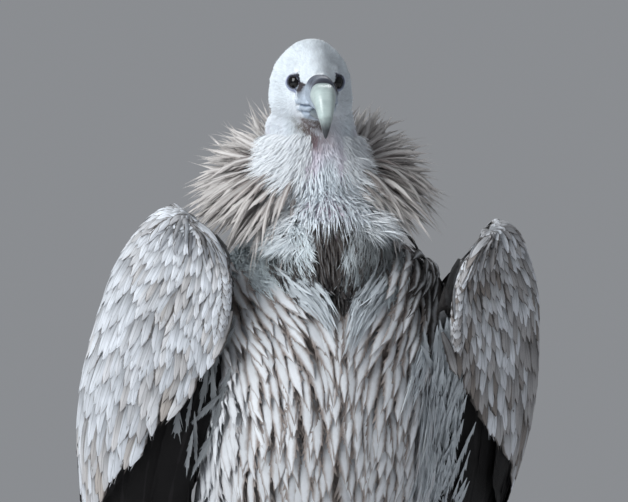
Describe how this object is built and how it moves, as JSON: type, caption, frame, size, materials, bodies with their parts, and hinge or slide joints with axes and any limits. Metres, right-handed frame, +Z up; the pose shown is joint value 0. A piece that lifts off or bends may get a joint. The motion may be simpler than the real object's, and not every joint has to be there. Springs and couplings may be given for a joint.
{
  "type": "himalayan griffon vulture",
  "caption": "Still life-size model of a young griffon vulture, standing with its wings held a little off the body and its ruff spread.",
  "frame": {"origin": "on the floor, below the middle of the bird's bounding box", "axes": "+Z up; the bird faces -Y, and its own left side is +X"},
  "size_m": [0.4638, 0.5472, 0.8455],
  "materials": {
    "down": "short white down",
    "crop_feather": "dark brown hair-like feathers",
    "ruff_feather": "long lance feathers, pale shafts on brown",
    "body_feather": "brown feathers with broad white streaks",
    "covert_feather": "whitish feathers with brown edges",
    "flight_feather": "near-black vanes with a faint sheen",
    "bill_horn": "pale greenish ivory horn with a dark tip",
    "bare_skin": "blue-grey bare skin",
    "leg_skin": "greenish-grey scaled skin",
    "claw_horn": "dark horn",
    "eye": "wet and clear, with a dark brown iris"
  },
  "bodies": {
    "root": {"head": "down", "cere": "bare_skin", "bill_upper": "bill_horn", "bill_lower": "bill_horn", "eye_left": "eye", "eye_right": "eye", "neck": "down", "crop": "crop_feather", "ruff": "ruff_feather", "trunk": "body_feather", "upper_arm_left": "body_feather", "upper_arm_right": "body_feather", "wing_left_coverts": "covert_feather", "wing_right_coverts": "covert_feather", "wing_left_secondaries": "flight_feather", "wing_right_secondaries": "flight_feather", "wing_left_primaries": "flight_feather", "wing_right_primaries": "flight_feather", "tail": "flight_feather", "thigh_left": "body_feather", "thigh_right": "body_feather", "shank_left": "leg_skin", "shank_right": "leg_skin", "foot_left": "leg_skin", "foot_right": "leg_skin", "toe_left_middle": "leg_skin", "toe_left_inner": "leg_skin", "toe_left_outer": "leg_skin", "toe_left_hind": "leg_skin", "toe_right_middle": "leg_skin", "toe_right_inner": "leg_skin", "toe_right_outer": "leg_skin", "toe_right_hind": "leg_skin", "claw_left_middle": "claw_horn", "claw_left_inner": "claw_horn", "claw_left_outer": "claw_horn", "claw_left_hind": "claw_horn", "claw_right_middle": "claw_horn", "claw_right_inner": "claw_horn", "claw_right_outer": "claw_horn", "claw_right_hind": "claw_horn"}
  },
  "joints": []
}
